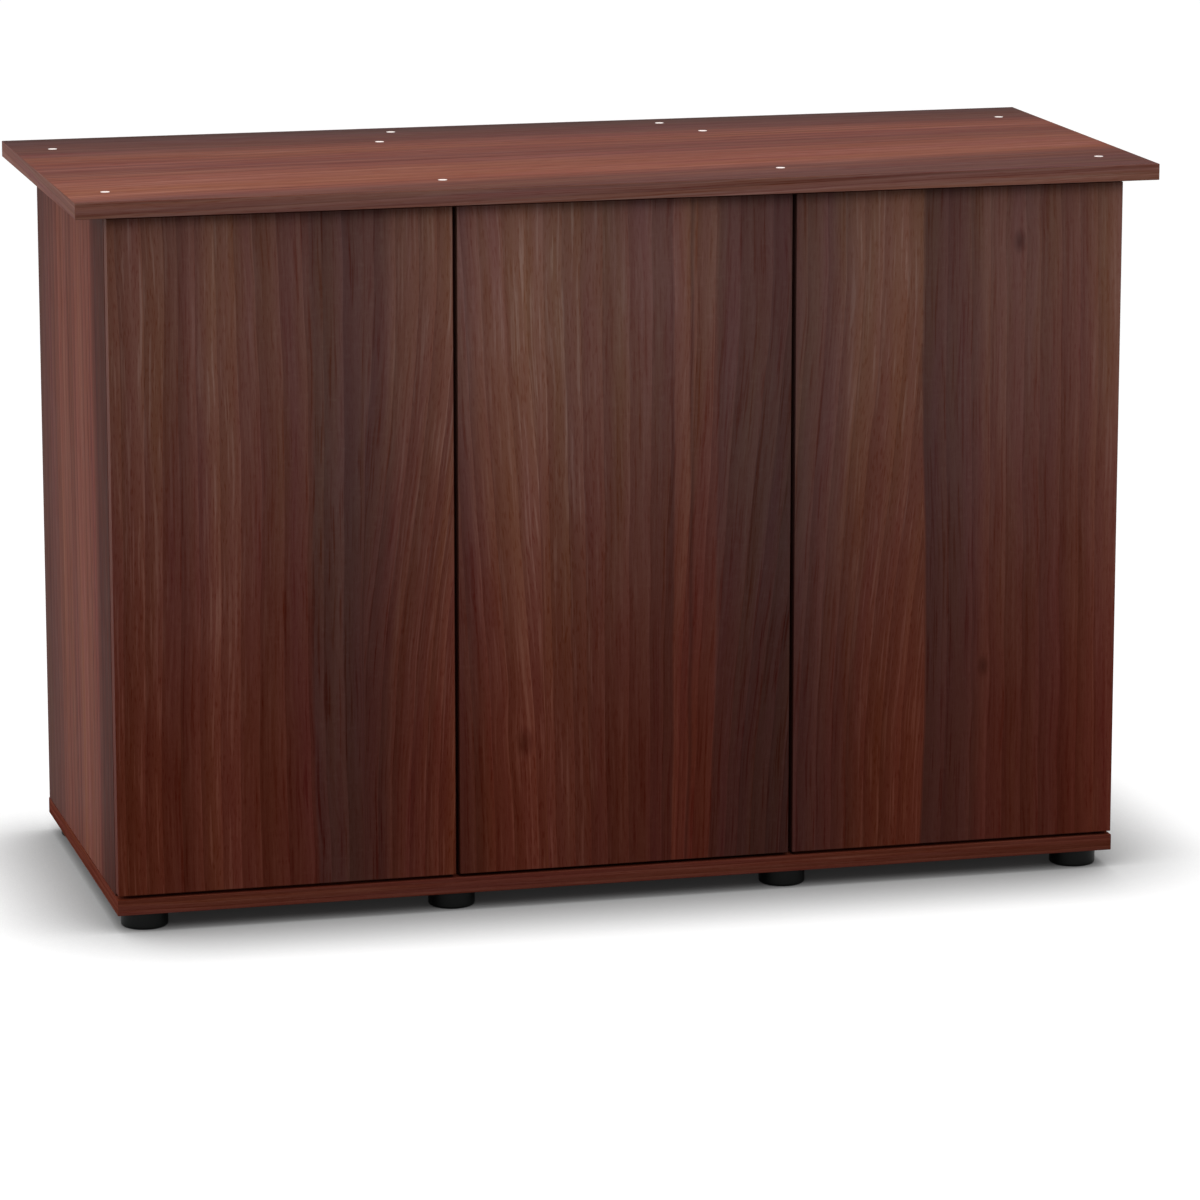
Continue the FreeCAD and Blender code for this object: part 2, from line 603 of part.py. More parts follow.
    arm_pins = [hinge_pin(name + "_outer_arm_pin", outer[0], arm_width),
                hinge_pin(name + "_inner_arm_pin", inner[0], arm_width)]
    group(side + "_arm_pins", with_upper(arm_pins))
    screw_reach = "arm_roof_in - arm_seat_in + arm_screw_bite"
    arm_screw = fuse(name + "_arm_screw", [
        rod(name + "_arm_screw_head", screw_seat, "+x", "arm_screw_head", "arm_screw_head_height"),
        rod(name + "_arm_screw_shank", screw_seat, "-x", "arm_screw_shank", screw_reach),
    ])
    arm_screws.extend(with_upper([arm_screw]))

    # Mounting plate with two wings, screwed to the upright
    face_x = "(%s + %s)" % (edge, mounting_face)
    wing_low, wing_high = band("wing_height")
    wing_y = carcass_front + " + plate_screw_back"
    riser = block(name + "_riser", (face_x, carcass_front + " + plate_front", cheek_low),
                  (seat_x, carcass_front + " + arm_end", cheek_high))
    wings = block(name + "_wings", (face_x, wing_y + " - wing_length / 2", wing_low),
                  (face_x + " + wing_thickness", wing_y + " + wing_length / 2", wing_high))
    plate_tools = [rod(name + "_arm_thread", (seat_x, screw_y, hinge_z), "-x", arm_hole, "arm_screw_bite")]
    upright_tools = []
    for sign in "-+":
        screw_z = "%s %s plate_screw_pitch / 2" % (hinge_z, sign)
        screw_name = "%s_plate_screw_%s" % (name, "low" if sign == "-" else "high")
        seat = (face_x + " + wing_thickness", wing_y, screw_z)
        shank_hole = "plate_screw_shank + 2 * fixed_fit"
        screw = fuse(screw_name, [
            rod(screw_name + "_head", seat, "+x", "plate_screw_head", "plate_screw_head_height"),
            rod(screw_name + "_shank", seat, "-x", "plate_screw_shank", "plate_screw_length"),
        ])
        plate_screws.extend(with_upper([screw]))
        plate_tools.append(rod(screw_name + "_wing_hole", seat, "-x", shank_hole, "wing_thickness"))
        pilot = rod(screw_name + "_pilot", (face_x, wing_y, screw_z), "-x", shank_hole,
                    "plate_screw_length - wing_thickness + end_gap")
        upright_tools.extend(with_upper([pilot]))
    plate = cut(name + "_plate", fuse(name + "_plate_blank", [riser, wings]), plate_tools)
    group(side + "_hinge_plates", with_upper([plate]))
    return with_upper(door_tools), upright_tools


# Doors, each with its strike plate and its push latch under the top panel
latch_housings = []
latch_screws = []


def door_and_latch(side, hinge_edge, door_tools):
    free_edge = "(%s + %s)" % (hinge_edge, door_width)
    high_corner = (free_edge, door_back, door_high)
    blank = block(side + "_door_blank", (hinge_edge, door_front, door_low), high_corner)
    edges = rounded(side + "_door_edges", blank, "edge_round", every_edge)
    subpart(cut(side + "_door", edges, door_tools), side + "_door")
    axis_x = "(%s - latch_in)" % free_edge
    axis_z = "(%s - plunger_drop)" % top_under
    strike_seat = (axis_x, door_back, axis_z)
    strike = rod(side + "_strike_plate", strike_seat, "+y", "strike_diameter", "strike_thickness")
    subpart(strike, side + "_strike_plate")
    tip_y = "(%s + strike_thickness + strike_gap)" % door_back
    tip = (axis_x, tip_y, axis_z)
    plunger = rod(side + "_plunger", tip, "+y", "plunger_diameter", "plunger_length")
    subpart(plunger, side + "_plunger")

    name = side + "_latch"
    front_y = "(%s + latch_setback)" % carcass_front
    ear_y = "(%s + ear_setback)" % front_y
    body_low = (axis_x + " - latch_width / 2", front_y, top_under + " - latch_height")
    body_high = (axis_x + " + latch_width / 2", front_y + " + latch_length", top_under)
    body = block(name + "_body", body_low, body_high)
    ear_span = "(latch_width / 2 + ear_reach)"
    ears_low = ("%s - %s" % (axis_x, ear_span), ear_y, top_under + " - ear_thickness")
    ears_high = ("%s + %s" % (axis_x, ear_span), ear_y + " + ear_length", top_under)
    ears = block(name + "_ears", ears_low, ears_high)
    bore = "plunger_diameter + 2 * running_fit"
    bore_depth = "%s + plunger_length - %s + end_gap" % (tip_y, front_y)
    tools = [rod(name + "_bore", (axis_x, front_y, axis_z), "+y", bore, bore_depth)]
    hole = "latch_screw_shank + 2 * fixed_fit"
    hole_depth = "latch_screw_length - ear_thickness + end_gap"
    holes_above = []
    for sign in "-+":
        screw_name = "%s_screw_%s" % (name, "left" if sign == "-" else "right")
        seat = ("%s %s (latch_width + ear_reach) / 2" % (axis_x, sign), ear_y + " + ear_length / 2",
                top_under + " - ear_thickness")
        latch_screws.append(fuse(screw_name, [
            rod(screw_name + "_head", seat, "-z", "latch_screw_head", "latch_screw_head_height"),
            rod(screw_name + "_shank", seat, "+z", "latch_screw_shank", "latch_screw_length"),
        ]))
        tools.append(rod(screw_name + "_ear_hole", seat, "+z", hole, "ear_thickness"))
        pilot = (seat[0], seat[1], top_under)
        holes_above.append(rod(screw_name + "_pilot", pilot, "+z", hole, hole_depth))
    latch_housings.append(cut(name + "_housing", fuse(name + "_blank", [body, ears]), tools))
    return holes_above


left_edge = "(-%s)" % side_face
middle_edge = "(door_spacing / 2 - %s)" % partition_x
left_door_tools, left_side_tools = hinges("left", left_edge, "board")
middle_door_tools, partition_tools = hinges("middle", middle_edge, "(board - door_spacing) / 2")
left_pilots = door_and_latch("left", left_edge, left_door_tools)
middle_pilots = door_and_latch("middle", middle_edge, middle_door_tools)

# The right door, its hinges and its latch mirror the left ones
for label in ("door", "strike_plate", "plunger", "hinge_cups", "cup_screws", "cup_pins",
              "outer_links", "inner_links", "hinge_arms", "arm_pins", "hinge_plates"):
    source = next(item for item in subparts if item.Label == "left_" + label)
    subpart(mirrored("right_" + label, source, (1, 0, 0)), "right_" + label)


def with_right(items):
    # Pieces of the left and middle doors, and the mirror images of the left door's pieces
    left_items = [item for item in items if item.Name.startswith("left_")]
    return items + [mirrored(item.Name + "_right", item, (1, 0, 0)) for item in left_items]


group("hinge_plate_screws", with_right(plate_screws))
group("hinge_arm_screws", with_right(arm_screws))
group("latch_housings", with_right(latch_housings))
group("latch_screws", with_right(latch_screws))
top_panel = next(item for item in subparts if item.Label == "top_panel")
top_panel.Tool.Shapes = top_panel.Tool.Shapes + with_right(left_pilots) + middle_pilots

# Uprights
left_side_low = ("-" + side_face, carcass_front, base_top)
left_side_blank = block("left_side_blank", left_side_low, ("board - %s" % side_face, base_back, top_under))
left_side_holes = upright_holes["left_side"] + left_side_tools
left_side = subpart(cut("left_side", left_side_blank, left_side_holes), "left_side")
subpart(mirrored("right_side", left_side, (1, 0, 0)), "right_side")
partition_blank = block("partition_blank", ("-%s - board / 2" % partition_x, carcass_front, base_top),
                        ("board / 2 - %s" % partition_x, back_face, top_under))
plain_partition = cut("plain_partition", partition_blank, upright_holes["left_partition"])
subpart(cut("left_partition", plain_partition, partition_tools), "left_partition")
subpart(mirrored("right_partition", plain_partition, (1, 0, 0)), "right_partition")

doc.recompute()
faulty = [item.Label for item in doc.Objects if "Invalid" in item.State or "Error" in item.State]
for item in subparts:
    if item.Shape.isNull() or not item.Shape.isValid() or not item.Shape.Solids:
        faulty.append(item.Label)
if faulty:
    raise RuntimeError("not built: " + ", ".join(faulty))
os.makedirs("parts", exist_ok=True)
for item in subparts:
    item.Shape.exportStep(os.path.join("parts", item.Label + ".step"))
print(len(subparts), "sub-parts written")
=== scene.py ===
import bpy
import json
import math
from mathutils import Matrix, Vector


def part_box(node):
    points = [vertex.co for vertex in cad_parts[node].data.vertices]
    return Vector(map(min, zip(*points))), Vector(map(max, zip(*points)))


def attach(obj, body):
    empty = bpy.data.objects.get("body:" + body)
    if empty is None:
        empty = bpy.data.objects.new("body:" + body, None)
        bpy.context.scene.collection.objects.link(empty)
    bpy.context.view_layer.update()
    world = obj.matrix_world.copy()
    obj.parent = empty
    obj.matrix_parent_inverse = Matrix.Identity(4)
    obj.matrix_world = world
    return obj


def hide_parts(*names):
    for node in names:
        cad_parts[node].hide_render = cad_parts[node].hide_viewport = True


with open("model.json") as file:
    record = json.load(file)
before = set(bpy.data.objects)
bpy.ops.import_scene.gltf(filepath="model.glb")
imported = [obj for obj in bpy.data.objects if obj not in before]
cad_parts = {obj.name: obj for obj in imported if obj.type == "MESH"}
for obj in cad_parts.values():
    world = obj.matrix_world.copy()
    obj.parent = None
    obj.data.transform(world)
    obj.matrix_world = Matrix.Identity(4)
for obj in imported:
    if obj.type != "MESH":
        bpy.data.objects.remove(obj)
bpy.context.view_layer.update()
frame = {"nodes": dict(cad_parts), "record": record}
nodes = frame["nodes"]
mm = 0.001
axes = {"x": Vector((1, 0, 0)), "y": Vector((0, 1, 0)), "z": Vector((0, 0, 1))}
print("frame loaded with", len(nodes), "nodes")


def linear(hexText):
    # sRGB hex to the linear colour that a shader takes
    parts = [int(hexText[i:i + 2], 16) / 255 for i in (1, 3, 5)]
    return [p / 12.92 if p <= 0.04045 else ((p + 0.055) / 1.055) ** 2.4 for p in parts] + [1.0]


def addNode(tree, kind, sockets=(), stops=None, **settings):
    # One node with its settings and the stops of a colour ramp. Its sockets, by name or in order, are set or
    # linked, and a node given for a socket stands for its first output
    node = tree.nodes.new(kind)
    for key, value in settings.items():
        setattr(node, key, value)
    for key, value in sockets.items() if isinstance(sockets, dict) else enumerate(sockets):
        if isinstance(value, bpy.types.Node):
            value = value.outputs[0]
        if isinstance(value, bpy.types.NodeSocket):
            tree.links.new(value, node.inputs[key])
        else:
            node.inputs[key].default_value = value
    if stops:
        elements = node.color_ramp.elements
        while len(elements) < len(stops):
            elements.new(1.0)
        for element, (place, colour) in zip(elements, stops):
            element.position = place
            element.color = colour
    return node


def blankMaterial(name):
    material = bpy.data.materials.new(name)
    material.use_nodes = True
    material.node_tree.nodes.clear()
    return material


def dress(node, material):
    slots = nodes[node].data.materials
    slots.clear()
    slots.append(material)


# Walnut-decor melamine on chipboard: printed paper pressed under satin resin. It shows broad red and grey
# bands, growth lines that fade in and stop short, thin pale streaks, open pores, and a low even sheen
walnut = {
    # Colours from dark to pale on red and on grey sheets, and the tones that they stand for
    "red": ["#3e170d", "#522216", "#642e22", "#7c4231", "#995f48"],
    "grey": ["#402a26", "#533833", "#674740", "#7e5950", "#997168"],
    "tones": [0.12, 0.34, 0.5, 0.66, 0.88],
    # Grain layers: millimetres across and along the grain, octaves of detail, shift in the noise.
    # Real pores are about 0.3 mm wide, drawn coarser so that they show
    "layers": {
        "flow": (330, 900, 1.5, 0.0), "waver": (48, 130, 1.0, 1.3), "band": (70, 1100, 2.0, 2.3),
        "streak": (11, 210, 3.0, 4.1), "line": (3.0, 95, 1.0, 6.7), "fibre": (1.7, 14, 2.0, 8.9),
        "pore": (1.4, 10, 0.0, 10.3), "ripple": (13, 5, 1.0, 12.9), "hue": (30, 420, 2.0, 14.7),
    },
    "seedPace": Vector((3.1, 1.7, 0.9)), "noiseRoughness": 0.55,
    # Sideways wander of the grain in millimetres, by layer
    "wander": {"flow": 22, "waver": 3.0},
    # Growth rings: spacing in millimetres, wander and how far they are drawn out
    "ringSpacing": 23, "ringWander": 7.0, "ringStretch": 30, "ringDetail": 2.0, "ringDetailScale": 0.8,
    # Share of each layer in the broad tone and in the fine shade
    "broad": {"band": 0.2, "ring": 0.12}, "fine": {"streak": 0.18, "fibre": 0.11},
    # Marks: where in the noise they start and are full, and how much they lighten
    "paleLine": (0.54, 0.72, 0.2), "darkLine": (0.44, 0.3, -0.13), "rippleMark": (0.56, 0.8, 0.04),
    "poreSpan": (0.58, 0.74), "poreDepth": (0.03, 0.085),
    # Light and dark of the fine shade, and the tan of the hue layer, by red, green and blue
    "fineTint": (2.1, 4.3, 5.0), "hueTint": (-0.05, 0.12, -0.5), "streakHue": 0.2, "hueMiddle": 0.58,
    # Edge banding: how squarely a face must look along the board's plane, and how much finer its grain is
    "edgeFacing": 0.75, "edgeSqueeze": 3.0,
    # Knots: how far the dark core and the pull on the grain reach, in knot sizes, and how strong they are
    "knotCore": (1.0, 0.2), "knotPull": (3.2, 0.25), "knotFlat": 0.55,
    # Doors: from where to where the painted reflection haze rises, strength of the grain below it and at the
    # top, share of the chart's grey
    "paintedHazeSpan": (-0.42, 0.45), "paintedHazeDetail": (1.03, 0.75), "greyShare": 0.66,
    # Bends: farthest run that the ramp can hold, and half the height over which the lines run
    "bendReach": 0.25, "bendSpan": 0.4,
    # Sheen, and the fibres' relief in millimetres
    "fibreSpan": (0.3, 0.7), "roughness": (0.55, 0.65), "specular": 0.02,
    "relief": 0.3, "reliefStrength": 0.08,
}
# Chart of the bands across a board: place across it, tone, share of pale streaks, greyness.
# Bends are how far the lines have run sideways at the foot, by place, as a share of the width.
# Knots: millimetres across and up from the middle, and size
boards = {
    "left_door": {
        "along": "z", "across": "x", "seed": 1.7, "lean": 0.0, "fan": 0.05,
        # Painted reflection haze: how much greyer and paler the top of the door is painted, with painted
        # shade lower down
        "paintedHazeGrey": 0.72, "paintedHazeLift": 0.14,
        "chart": [(0.0, 0.48, 0.9, 0.0), (0.12, 0.51, 1.0, 0.0), (0.2, 0.44, 0.2, 0.1),
                  (0.3, 0.53, 0.9, 0.1), (0.42, 0.47, 0.4, 0.1), (0.575, 0.45, 0.2, 0.2),
                  (0.59, 0.36, 0.1, 0.8), (0.66, 0.38, 0.1, 0.9), (0.675, 0.32, 0.1, 0.9),
                  (0.75, 0.36, 0.1, 0.6), (0.84, 0.49, 0.5, 0.2), (1.0, 0.56, 1.0, 0.0)],
        "bends": [(0.0, 0.0), (0.715, 0.0), (0.725, 0.12), (1.0, 0.17)],
    },
    "middle_door": {
        "along": "z", "across": "x", "seed": 4.2, "lean": 0.0, "fan": 0.1, "contrast": 0.92,
        # Painted reflection haze: how much greyer and paler the top of the door is painted, with painted
        # shade lower down
        "paintedHazeGrey": 0.84, "paintedHazeLift": 0.2,
        "chart": [(0.0, 0.44, 0.2, 0.3), (0.1, 0.54, 0.6, 0.0), (0.22, 0.6, 1.0, 0.0),
                  (0.34, 0.54, 0.9, 0.2), (0.5, 0.47, 0.4, 0.2), (0.62, 0.43, 0.2, 0.3),
                  (0.634, 0.38, 0.2, 0.3), (0.642, 0.54, 0.5, 0.0), (0.68, 0.56, 0.5, 0.0),
                  (0.688, 0.38, 0.2, 0.2), (0.7, 0.5, 0.2, 0.0), (0.76, 0.48, 0.2, 0.1),
                  (0.772, 0.38, 0.2, 0.5), (0.88, 0.34, 0.2, 0.8), (1.0, 0.26, 0.1, 1.0)],
        "bends": [(0.0, -0.05), (0.25, -0.08), (0.262, 0.0), (0.58, 0.0), (0.62, 0.05), (0.8, 0.08),
                  (1.0, 0.12)],
        "knots": [(-115, -227, 13)],
    },
    "right_door": {
        "along": "z", "across": "x", "seed": 7.9, "lean": 0.0, "fan": 0.0, "contrast": 0.82,
        # Painted reflection haze: how much greyer and paler the top of the door is painted, with painted
        # shade lower down
        "paintedHazeGrey": 0.8, "paintedHazeLift": 0.16,
        "chart": [(0.0, 0.37, 0.1, 0.8), (0.1, 0.42, 0.2, 0.5), (0.22, 0.51, 0.9, 0.1),
                  (0.34, 0.56, 1.0, 0.0), (0.385, 0.53, 1.0, 0.0), (0.395, 0.37, 0.1, 0.7),
                  (0.52, 0.38, 0.1, 0.6), (0.6, 0.47, 0.3, 0.2), (0.76, 0.45, 0.3, 0.2),
                  (0.88, 0.48, 0.4, 0.0), (1.0, 0.6, 0.6, 0.0)],
        "bends": [(0.0, 0.12), (0.385, 0.16), (0.395, 0.0), (1.0, 0.0)],
        "knots": [(33, -170, 9), (69, 309, 10)],
    },
    "left_side": {
        "along": "z", "across": "y", "seed": 11.3, "lean": 0.0, "fan": 0.05, "contrast": 0.9, "coarse": 2.6,
        "chart": [(0.0, 0.13, 0.1, 0.1), (0.13, 0.18, 0.2, 0.2), (0.22, 0.54, 0.6, 0.25),
                  (0.4, 0.6, 0.6, 0.25), (0.52, 0.48, 0.5, 0.3), (0.66, 0.57, 0.5, 0.25),
                  (0.8, 0.39, 0.3, 0.4), (1.0, 0.29, 0.2, 0.5)],
    },
    "right_side": {
        "along": "z", "across": "y", "seed": 14.6, "lean": 0.01, "fan": 0.05,
        "chart": [(0.0, 0.5, 0.5, 0.2), (0.3, 0.42, 0.3, 0.4), (0.6, 0.56, 0.7, 0.1), (1.0, 0.46, 0.4, 0.4)],
    },
    "left_partition": {
        "along": "z", "across": "y", "seed": 17.1, "lean": 0.0, "fan": 0.08,
        "chart": [(0.0, 0.46, 0.5, 0.2), (0.35, 0.55, 0.7, 0.1), (0.7, 0.42, 0.3, 0.5), (1.0, 0.5, 0.5, 0.2)],
    },
    "right_partition": {
        "along": "z", "across": "y", "seed": 20.4, "lean": 0.01, "fan": -0.06,
        "chart": [(0.0, 0.52, 0.6, 0.1), (0.4, 0.44, 0.3, 0.4), (0.75, 0.54, 0.6, 0.1),
                  (1.0, 0.42, 0.3, 0.5)],
    },
    "back_panel": {
        "along": "z", "across": "x", "seed": 23.8, "lean": 0.02, "fan": 0.12,
        "chart": [(0.0, 0.44, 0.4, 0.3), (0.3, 0.56, 0.8, 0.1), (0.6, 0.4, 0.3, 0.6), (1.0, 0.52, 0.6, 0.1)],
    },
    "top_panel": {
        "along": "x", "across": "y", "seed": 27.5, "lean": 0.06, "fan": -0.24, "contrast": 0.9, "coarse": 2.2,
        "edgeLift": 0.1, "edgeGrey": 0.5,
        "chart": [(0.0, 0.35, 0.3, 0.5), (0.1, 0.41, 0.5, 0.4), (0.22, 0.62, 0.7, 0.15),
                  (0.36, 0.6, 0.7, 0.2), (0.52, 0.48, 0.4, 0.3), (0.68, 0.56, 0.7, 0.2),
                  (0.85, 0.33, 0.3, 0.5), (1.0, 0.12, 0.2, 0.8)],
    },
    "base_panel": {
        "along": "x", "across": "y", "seed": 31.2, "lean": 0.0, "fan": 0.04, "specular": 0.0,
        "chart": [(0.0, 0.5, 0.6, 0.0), (0.3, 0.44, 0.4, 0.2), (0.65, 0.54, 0.6, 0.1), (1.0, 0.46, 0.4, 0.3)],
    },
}


def walnutBoard(name, facts):
    material = blankMaterial("walnut_melamine_" + name)
    tree = material.node_tree
    low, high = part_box(name)
    along, across = axes[facts["along"]], axes[facts["across"]]
    through = along.cross(across)
    width = abs((high - low).dot(across))
    length = abs((high - low).dot(along))
    coord = addNode(tree, "ShaderNodeTexCoord").outputs

    # Place on the faces and on the two kinds of edge: x across, z along the grain there.
    # Banding on the edges has its own finer grain along them
    finer = walnut["edgeSqueeze"]
    spot, *edgeSpots = [addNode(tree, "ShaderNodeMapping", {
        "Vector": coord["Object"], "Location": (low + high) / 2,
        "Rotation": Matrix(rows).transposed().to_euler(), "Scale": (1 / squeeze, 1, 1),
    }, vector_type="TEXTURE") for rows, squeeze in (
        ((across, through, along), 1.0), ((through, -across, along), finer),
        ((through, along, across), finer))]
    edges = []
    for edgeSpot, outward in zip(edgeSpots, (across, along)):
        facing = addNode(tree, "ShaderNodeVectorMath", (coord["Normal"], outward), operation="DOT_PRODUCT")
        facing = addNode(tree, "ShaderNodeMath", [facing.outputs["Value"]], operation="ABSOLUTE")
        onEdge = addNode(tree, "ShaderNodeMath", (facing, walnut["edgeFacing"]), operation="GREATER_THAN")
        spot = addNode(tree, "ShaderNodeMix", {"Factor": onEdge, "A": spot, "B": edgeSpot},
                       data_type="VECTOR").outputs["Result"]
        edges.append(onEdge)

    # The grain leans and fans a little, and goes round the knots
    parts = addNode(tree, "ShaderNodeSeparateXYZ", [spot]).outputs
    lean = addNode(tree, "ShaderNodeMath", (parts["X"], facts["fan"], facts["lean"]),
                   operation="MULTIPLY_ADD")
    drift = addNode(tree, "ShaderNodeMath", (lean, parts["Z"]), operation="MULTIPLY")
    upright = addNode(tree, "ShaderNodeMath", (parts["X"], drift), operation="SUBTRACT")
    cores = []
    for side, height, size in facts.get("knots", []):
        knot = (side * mm, 0, height * mm)
        shrink = (1 / (size * mm), 0, walnut["knotFlat"] / (size * mm))
        offset = addNode(tree, "ShaderNodeVectorMath", (spot, knot), operation="SUBTRACT")
        scaled = addNode(tree, "ShaderNodeVectorMath", (offset, shrink), operation="MULTIPLY")
        reach = addNode(tree, "ShaderNodeVectorMath", [scaled], operation="LENGTH").outputs["Value"]
        core, pull = (
            addNode(tree, "ShaderNodeMapRange", (reach, 0, end, depth, 0), interpolation_type="SMOOTHSTEP")
            for end, depth in (walnut["knotCore"], walnut["knotPull"]))
        cores.append(core)
        sideways = addNode(tree, "ShaderNodeSeparateXYZ", [offset]).outputs["X"]
        bulge = addNode(tree, "ShaderNodeMath", (sideways, pull), operation="MULTIPLY")
        upright = addNode(tree, "ShaderNodeMath", (upright, bulge), operation="SUBTRACT")
    straight = addNode(tree, "ShaderNodeCombineXYZ", (upright, parts["Y"], parts["Z"]))

    def grainLayer(source, layer, coarse=1.0):
        # Noise drawn out along the grain. Each board and layer has its own place in the noise
        thick, drawn, detail, shift = walnut["layers"][layer]
        thick, drawn = thick * mm * coarse, drawn * mm * coarse
        stretched = addNode(tree, "ShaderNodeMapping", {
            "Vector": source, "Scale": (1 / thick, 1 / thick, 1 / drawn),
            "Location": facts["seed"] * walnut["seedPace"] + Vector((shift, -shift, shift)),
        })
        return addNode(tree, "ShaderNodeTexNoise", {
            "Vector": stretched, "Scale": 1.0, "Detail": detail, "Roughness": walnut["noiseRoughness"],
        }).outputs

    bent = straight
    for layer, wander in walnut["wander"].items():
        wave = grainLayer(straight, layer)["Color"]
        centred = addNode(tree, "ShaderNodeVectorMath", (wave, (0.5, 0.5, 0.5)), operation="SUBTRACT")
        bent = addNode(tree, "ShaderNodeVectorMath", (centred, (2 * wander * mm, 0, 0), bent),
                       operation="MULTIPLY_ADD")
    bentParts = addNode(tree, "ShaderNodeSeparateXYZ", [bent]).outputs
    share = addNode(tree, "ShaderNodeMapRange", (bentParts["X"], -width / 2, width / 2, 0, 1))
    chart = addNode(tree, "ShaderNodeValToRGB", [share], stops=[
        (place, (tone, streaks, grey, 1)) for place, tone, streaks, grey in facts["chart"]
    ])
    chart.color_ramp.interpolation = "EASE"
    chart = addNode(tree, "ShaderNodeSeparateColor", [chart]).outputs
    tone, streaks, grey = chart["Red"], chart["Green"], chart["Blue"]

    if "bends" in facts:
        # Lines that run at a slant stop short at a straight edge in the grain
        farthest, span = walnut["bendReach"], walnut["bendSpan"] * length
        slant = addNode(tree, "ShaderNodeValToRGB", [share], stops=[
            (place, [0.5 + 0.5 * run / farthest] * 3 + [1]) for place, run in facts["bends"]
        ])
        slant = addNode(tree, "ShaderNodeMapRange", (slant, 0, 1, -farthest * width, farthest * width))
        fall = addNode(tree, "ShaderNodeMapRange", (bentParts["Z"], span, -span, 0, 1),
                       interpolation_type="SMOOTHSTEP")
        slant = addNode(tree, "ShaderNodeMath", (slant, fall), operation="MULTIPLY")
        slant = addNode(tree, "ShaderNodeCombineXYZ", {"X": slant})
        bent = addNode(tree, "ShaderNodeVectorMath", (bent, slant), operation="ADD")

    # A board that is only seen at a slant has its fine grain drawn coarser, so that it shows
    coarse = facts.get("coarse", 1.0)
    grain = {layer: grainLayer(bent, layer)["Fac"] for layer in ("band", "hue")}
    for layer in ("streak", "line", "fibre", "pore"):
        grain[layer] = grainLayer(bent, layer, coarse)["Fac"]
    squeezed = addNode(tree, "ShaderNodeMapping", {
        "Vector": bent, "Scale": (1, 1, 1 / walnut["ringStretch"]), "Location": [facts["seed"]] * 3,
    })
    # A wave of scale 1 repeats every 0.1 * pi
    grain["ring"] = addNode(tree, "ShaderNodeTexWave", {
        "Vector": squeezed, "Scale": 0.1 * math.pi / (walnut["ringSpacing"] * mm),
        "Distortion": walnut["ringWander"], "Detail": walnut["ringDetail"],
        "Detail Scale": walnut["ringDetailScale"],
    }, wave_type="BANDS", bands_direction="X", wave_profile="SAW").outputs["Fac"]

    # Broad grain is in the tone, and fine grain lies over it as plain light and dark
    sums = {"broad": 0.0, "fine": 0.0}
    for kind in sums:
        for layer, weight in walnut[kind].items():
            centred = addNode(tree, "ShaderNodeMath", (grain[layer], 0.5), operation="SUBTRACT")
            sums[kind] = addNode(tree, "ShaderNodeMath", (centred, weight, sums[kind]),
                                 operation="MULTIPLY_ADD")
    broad, fine = sums["broad"], sums["fine"]
    # Pale lines where the chart has streaks, ripples and thin dark lines elsewhere
    plain = addNode(tree, "ShaderNodeMath", (1.0, streaks), operation="SUBTRACT")
    marks = [(grain["line"], walnut["paleLine"], streaks), (grain["line"], walnut["darkLine"], plain)]
    if "coarse" not in facts:
        marks.insert(1, (grainLayer(bent, "ripple")["Fac"], walnut["rippleMark"], plain))
    for layer, (start, end, depth), where in marks:
        mark = addNode(tree, "ShaderNodeMapRange", (layer, start, end, 0, depth))
        fine = addNode(tree, "ShaderNodeMath", (mark, where, fine), operation="MULTIPLY_ADD")
    # Open pores, most of them among the pale streaks
    depth = addNode(tree, "ShaderNodeMapRange", (streaks, 0, 1, *walnut["poreDepth"]))
    pores = addNode(tree, "ShaderNodeMapRange", (grain["pore"], *walnut["poreSpan"], 0, depth))
    fine = addNode(tree, "ShaderNodeMath", (fine, pores), operation="SUBTRACT")

    contrast = facts.get("contrast", 1.0)
    strength = contrast
    if "paintedHazeGrey" in facts:
        # Painted reflection haze: the doors are painted greyer, paler and softer towards the top, and darker
        # lower down as painted shade
        hazeAmount = addNode(tree, "ShaderNodeMapRange",
                       (bentParts["Z"], *(part * length for part in walnut["paintedHazeSpan"]), 0, 1),
                       interpolation_type="SMOOTHSTEP")
        strength = addNode(tree, "ShaderNodeMapRange",
                           (hazeAmount, 0, 1, *(detail * contrast for detail in walnut["paintedHazeDetail"])))
        grey = addNode(tree, "ShaderNodeMath", (grey, walnut["greyShare"]), operation="MULTIPLY")
        grey = addNode(tree, "ShaderNodeMath", (hazeAmount, facts["paintedHazeGrey"], grey), operation="MULTIPLY_ADD",
                       use_clamp=True)
        lift = addNode(tree, "ShaderNodeMath", (hazeAmount, 0.5), operation="SUBTRACT")
        tone = addNode(tree, "ShaderNodeMath", (lift, facts["paintedHazeLift"], tone), operation="MULTIPLY_ADD")
    if "edgeLift" in facts:
        # The top panel's edges are paler and greyer than its faces
        edge = addNode(tree, "ShaderNodeMath", edges, operation="MAXIMUM")
        tone = addNode(tree, "ShaderNodeMath", (edge, facts["edgeLift"], tone), operation="MULTIPLY_ADD")
        grey = addNode(tree, "ShaderNodeMath", (edge, facts["edgeGrey"], grey), operation="MULTIPLY_ADD",
                       use_clamp=True)
    tone = addNode(tree, "ShaderNodeMath", (broad, strength, tone), operation="MULTIPLY_ADD")
    fine = addNode(tree, "ShaderNodeMath", (fine, strength), operation="MULTIPLY")
    for core in cores:
        tone = addNode(tree, "ShaderNodeMath", (tone, core), operation="SUBTRACT")
    red, ashen = (addNode(tree, "ShaderNodeValToRGB", [tone], stops=[
        (place, linear(colour)) for place, colour in zip(walnut["tones"], walnut[family])
    ]) for family in ("red", "grey"))
    colour = addNode(tree, "ShaderNodeMix", {"Factor": grey, "A": red, "B": ashen}, data_type="RGBA")
